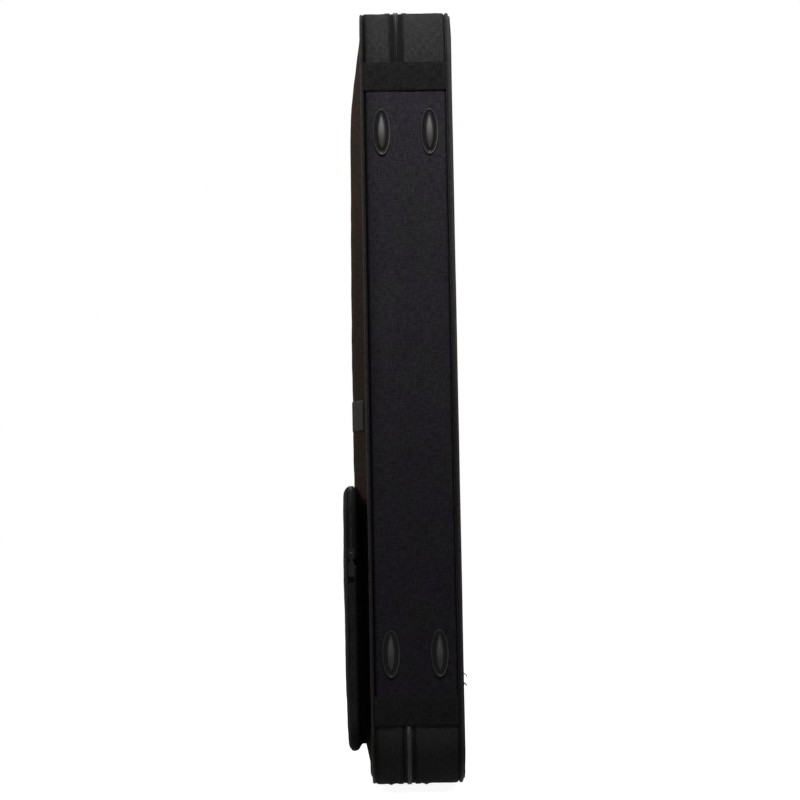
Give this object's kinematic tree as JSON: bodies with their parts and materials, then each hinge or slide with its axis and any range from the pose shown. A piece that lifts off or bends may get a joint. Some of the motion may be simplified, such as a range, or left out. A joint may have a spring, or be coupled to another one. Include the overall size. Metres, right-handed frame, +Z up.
{
  "type": "bass guitar case",
  "caption": "Rectangular zipped foam case for a bass guitar, standing on its end feet, with a crowned lid, front pocket, carry handle and shoulder straps on its back.",
  "frame": {"origin": "centre of the whole part's box, at the floor under the end feet", "axes": "+X from the carry handle to the lid's hinge, +Y from the lid to the back with the straps, +Z up along the case"},
  "size_m": [0.4636, 0.1872, 1.2452],
  "materials": {
    "nylon": "matte",
    "webbing": "matte",
    "piping_vinyl": "satin",
    "zip_tape": "matte",
    "black_metal": "satin",
    "foot_plastic": "satin",
    "foam_board": "matte",
    "plush": "matte",
    "grip_rubber": "matte",
    "label_weave": "matte"
  },
  "bodies": {
    "base": {"base_shell": "foam_board", "base_lining": "plush", "back_cover": "nylon", "base_gusset": "nylon", "base_hinge_panel": "nylon", "base_piping": "piping_vinyl", "base_zip_half": "zip_tape", "top_band_base": "webbing", "bottom_band_base": "webbing", "side_foot_top_base": "foot_plastic", "side_foot_bottom_base": "foot_plastic", "end_foot_left_base": "foot_plastic", "end_foot_right_base": "foot_plastic", "handle_anchor_upper": "black_metal", "handle_anchor_lower": "black_metal", "strap_anchor_top": "webbing", "lower_anchor_left": "webbing", "lower_anchor_right": "webbing", "neck_cradle": "plush", "body_surround": "plush", "accessory_box": "plush"},
    "lid": {"lid_shell": "foam_board", "lid_lining": "plush", "front_cover": "nylon", "lid_gusset": "nylon", "lid_hinge_panel": "nylon", "lid_piping": "piping_vinyl", "lid_zip_half": "zip_tape", "top_band_lid": "webbing", "bottom_band_lid": "webbing", "side_foot_top_lid": "foot_plastic", "side_foot_bottom_lid": "foot_plastic", "end_foot_left_lid": "foot_plastic", "end_foot_right_lid": "foot_plastic", "label_patch": "label_weave", "pocket_gusset": "nylon", "pocket_zip_back": "zip_tape", "pocket_front": "nylon"},
    "pocket_top": {"pocket_flap": "nylon", "pocket_flap_side": "zip_tape"},
    "slider_left": {"zip_slider_left": "black_metal"},
    "slider_right": {"zip_slider_right": "black_metal"},
    "pull_left": {"zip_pull_left": "black_metal"},
    "pull_right": {"zip_pull_right": "black_metal"},
    "slider_pocket": {"pocket_slider": "black_metal"},
    "pull_pocket": {"pocket_pull": "black_metal"},
    "handle": {"handle_bail": "black_metal", "handle_grip": "grip_rubber"},
    "strap_left": {"strap_pad_left": "nylon", "strap_webbing_left": "webbing", "ladder_lock_left": "foot_plastic", "strap_hook_left": "black_metal"},
    "strap_right": {"strap_pad_right": "nylon", "strap_webbing_right": "webbing", "ladder_lock_right": "foot_plastic", "strap_hook_right": "black_metal"},
    "neck_tie": {"neck_strap": "webbing"},
    "accessory_cover": {"accessory_lid": "plush"}
  },
  "joints": [
    {"name": "lid_hinge", "type": "hinge", "parent": "base", "child": "lid", "pos_m": [0.22665, 0.0037, 0.6225], "axis": [0, 0, 1], "range_deg": [0, 150]},
    {"name": "pocket_flap_hinge", "type": "hinge", "parent": "lid", "child": "pocket_top", "pos_m": [0.02435, -0.0936, 0.361], "axis": [1, 0, 0], "range_deg": [0, 110]},
    {"name": "left_slider_travel", "type": "slide", "parent": "base", "child": "slider_left", "axis": [-1, 0, 0], "range_m": [0, 0.08]},
    {"name": "right_slider_travel", "type": "slide", "parent": "base", "child": "slider_right", "axis": [1, 0, 0], "range_m": [0, 0.08]},
    {"name": "left_pull_tilt", "type": "hinge", "parent": "slider_left", "child": "pull_left", "pos_m": [0.01585, 0.0037, 1.2433], "axis": [0, 1, 0], "range_deg": [0, 85]},
    {"name": "right_pull_tilt", "type": "hinge", "parent": "slider_right", "child": "pull_right", "pos_m": [0.03285, 0.0037, 1.2433], "axis": [0, -1, 0], "range_deg": [0, 85]},
    {"name": "pocket_slider_travel", "type": "slide", "parent": "lid", "child": "slider_pocket", "axis": [0, 0, 1], "range_m": [0, 0.034]},
    {"name": "pocket_pull_tilt", "type": "hinge", "parent": "slider_pocket", "child": "pull_pocket", "pos_m": [0.21215, -0.0808, 0.372], "axis": [0, -1, 0], "range_deg": [0, 170]},
    {"name": "handle_swing", "type": "hinge", "parent": "base", "child": "handle", "pos_m": [-0.18635, 0.0467, 0.6], "axis": [0, 0, 1], "range_deg": [-65, 50]},
    {"name": "left_strap_swing", "type": "hinge", "parent": "base", "child": "strap_left", "pos_m": [-0.03565, 0.0939, 0.7727], "axis": [1, 0, 0], "range_deg": [0, 120]},
    {"name": "right_strap_swing", "type": "hinge", "parent": "base", "child": "strap_right", "pos_m": [0.08435, 0.0939, 0.7727], "axis": [1, 0, 0], "range_deg": [0, 120]},
    {"name": "neck_strap_hinge", "type": "hinge", "parent": "base", "child": "neck_tie", "pos_m": [-0.01525, 0.02675, 0.93], "axis": [0, 0, -1], "range_deg": [0, 100]},
    {"name": "accessory_lid_hinge", "type": "hinge", "parent": "base", "child": "accessory_cover", "pos_m": [-0.07355, 0.03275, 0.7], "axis": [0, 0, 1], "range_deg": [0, 90]}
  ]
}
